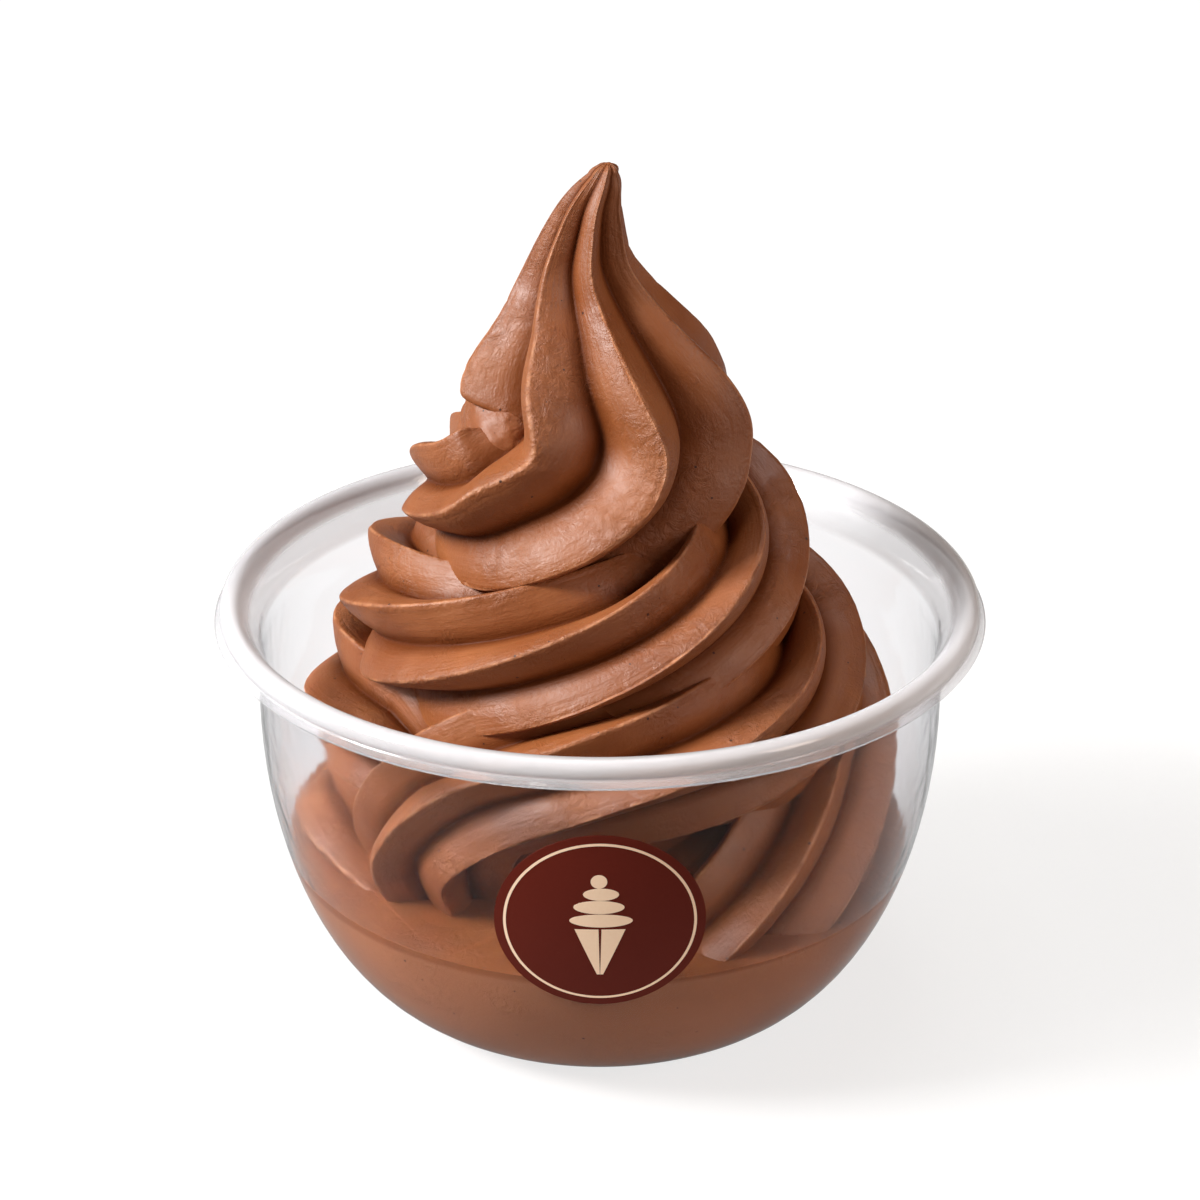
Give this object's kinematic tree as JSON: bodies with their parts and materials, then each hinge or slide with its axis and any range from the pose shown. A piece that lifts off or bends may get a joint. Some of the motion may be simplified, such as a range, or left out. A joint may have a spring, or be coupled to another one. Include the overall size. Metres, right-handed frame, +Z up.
{
  "type": "soft serve cup",
  "caption": "Chocolate soft serve piped in ridged coils up to a drawn-out tip, in a clear round plastic dessert cup with a rolled lip and a round paper label.",
  "frame": {"origin": "centre of the cup's base, on the surface the cup stands on", "axes": "+Z up, the label faces -Y, +X is to the right when the label is seen from the front"},
  "size_m": [0.1184, 0.1184, 0.1347],
  "materials": {
    "clear_plastic": "clear, glossy",
    "chocolate_soft_serve": "satin, moist",
    "label_paper": "printed paper, half matte"
  },
  "bodies": {
    "root": {"cup": "clear_plastic", "soft_serve": "chocolate_soft_serve", "label": "label_paper"}
  },
  "joints": []
}
